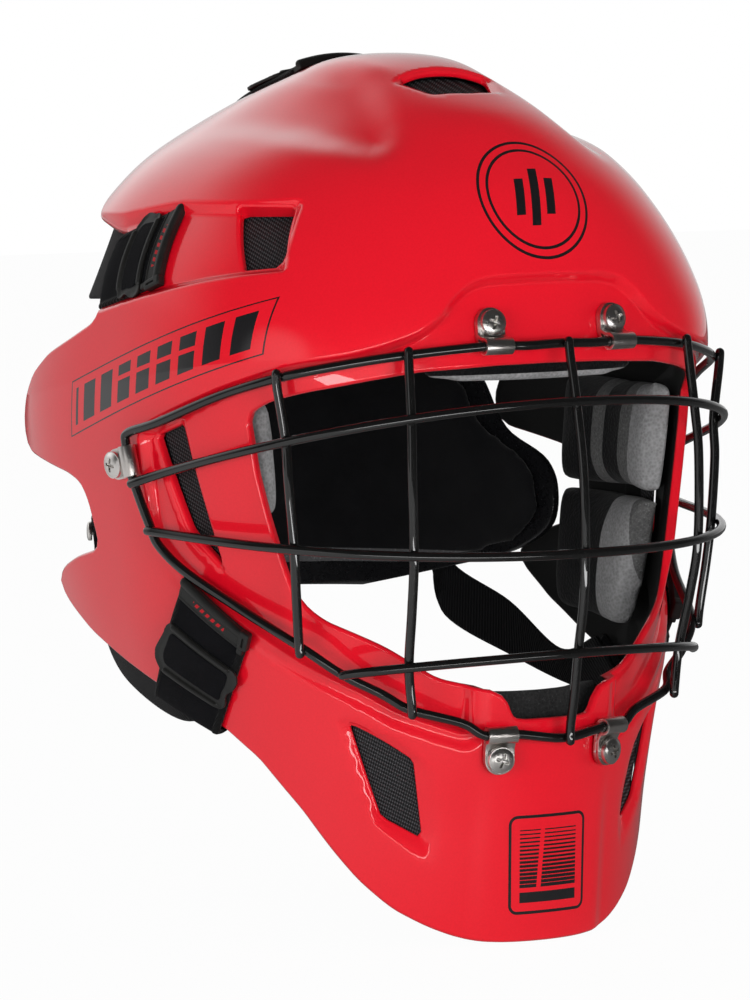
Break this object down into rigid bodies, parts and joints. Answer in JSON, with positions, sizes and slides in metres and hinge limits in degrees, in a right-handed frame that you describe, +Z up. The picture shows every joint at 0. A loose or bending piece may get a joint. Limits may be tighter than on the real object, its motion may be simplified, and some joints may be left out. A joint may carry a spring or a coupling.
{
  "type": "floorball goalie helmet",
  "caption": "Moulded goalie helmet with stepped chin shell, welded wire cage on clips, foam pads, and a sprung back plate on hook-and-loop straps.",
  "frame": {"origin": "where the top of the wearer's head meets the underside of the crown pad", "axes": "the wearer looks along -Y, the wearer's left is +X, up is +Z"},
  "size_m": [0.2434, 0.2511, 0.3135],
  "materials": {
    "gloss_shell": "deep gloss clear-coated red",
    "mesh_cloth": "woven black mesh",
    "coated_wire": "black gloss powder coat",
    "clip_steel": "dark nickel, satin",
    "screw_steel": "nickel, satin",
    "speckled_foam": "matt speckled foam",
    "plate_plastic": "gloss black",
    "lined_foam": "matt loop lining on foam",
    "strap_rubber": "matt moulded rubber",
    "loop_cloth": "brushed loop cloth",
    "webbing": "woven elastic"
  },
  "bodies": {
    "shell": {"shell": "gloss_shell", "vent_mesh_crown": "mesh_cloth", "vent_mesh_temple_left": "mesh_cloth", "vent_mesh_temple_right": "mesh_cloth", "vent_mesh_cheek_left": "mesh_cloth", "vent_mesh_cheek_right": "mesh_cloth", "vent_mesh_jaw_left": "mesh_cloth", "vent_mesh_jaw_right": "mesh_cloth", "cage_rim_wire": "coated_wire", "cage_cross_wires": "coated_wire", "cage_upright_wires": "coated_wire", "cage_clip_brow_left": "clip_steel", "cage_clip_brow_right": "clip_steel", "cage_clip_side_left": "clip_steel", "cage_clip_side_right": "clip_steel", "cage_clip_chin_left": "clip_steel", "cage_clip_chin_right": "clip_steel", "clip_screws": "screw_steel", "clip_nuts": "screw_steel", "brow_pad": "speckled_foam", "crown_pad": "speckled_foam", "temple_pad_left": "speckled_foam", "temple_pad_right": "speckled_foam", "cheek_pad_left": "speckled_foam", "cheek_pad_right": "speckled_foam", "chin_pad": "speckled_foam", "hook_patches": "loop_cloth", "strap_top": "loop_cloth", "strap_upper_left": "loop_cloth", "strap_upper_right": "loop_cloth", "strap_lower_left": "loop_cloth", "strap_lower_right": "loop_cloth", "strap_end_top": "strap_rubber", "strap_end_upper_left": "strap_rubber", "strap_end_upper_right": "strap_rubber", "strap_end_lower_left": "strap_rubber", "strap_end_lower_right": "strap_rubber"},
    "back_plate": {"back_plate": "plate_plastic", "back_plate_pad": "lined_foam", "plate_rivets": "screw_steel", "elastic_top": "webbing", "elastic_upper_left": "webbing", "elastic_upper_right": "webbing", "elastic_lower_left": "webbing", "elastic_lower_right": "webbing"},
    "pull_tab_top": {"pull_tab_top": "strap_rubber"},
    "pull_tab_upper_left": {"pull_tab_upper_left": "strap_rubber"},
    "pull_tab_upper_right": {"pull_tab_upper_right": "strap_rubber"},
    "pull_tab_lower_left": {"pull_tab_lower_left": "strap_rubber"},
    "pull_tab_lower_right": {"pull_tab_lower_right": "strap_rubber"}
  },
  "joints": [
    {"name": "back_plate_tilt", "type": "hinge", "parent": "shell", "child": "back_plate", "pos_m": [0, 0.0735, -0.008], "axis": [1, 0, 0], "range_deg": [0, 25], "stiffness_Nm_per_rad": 0.6, "springref_deg": -11.46, "deforming": ["elastic_top", "elastic_upper_left", "elastic_upper_right", "elastic_lower_left", "elastic_lower_right"]},
    {"name": "top_tab_peel", "type": "hinge", "parent": "shell", "child": "pull_tab_top", "pos_m": [0, 0.0509, 0.0108], "axis": [-1, 0, 0], "range_deg": [0, 60]},
    {"name": "upper_left_tab_peel", "type": "hinge", "parent": "shell", "child": "pull_tab_upper_left", "pos_m": [0.10807, -0.00188, -0.04999], "axis": [-0.3558, 0.0616, 0.9325], "range_deg": [0, 60]},
    {"name": "lower_left_tab_peel", "type": "hinge", "parent": "shell", "child": "pull_tab_lower_left", "pos_m": [0.10034, -0.03174, -0.20068], "axis": [0.2954, 0.8534, 0.4295], "range_deg": [0, 60]},
    {"name": "upper_right_tab_peel", "type": "hinge", "parent": "shell", "child": "pull_tab_upper_right", "pos_m": [-0.10807, -0.00188, -0.04999], "axis": [-0.3558, -0.0616, -0.9325], "range_deg": [0, 60]},
    {"name": "lower_right_tab_peel", "type": "hinge", "parent": "shell", "child": "pull_tab_lower_right", "pos_m": [-0.10034, -0.03174, -0.20068], "axis": [0.2954, -0.8534, -0.4295], "range_deg": [0, 60]}
  ]
}
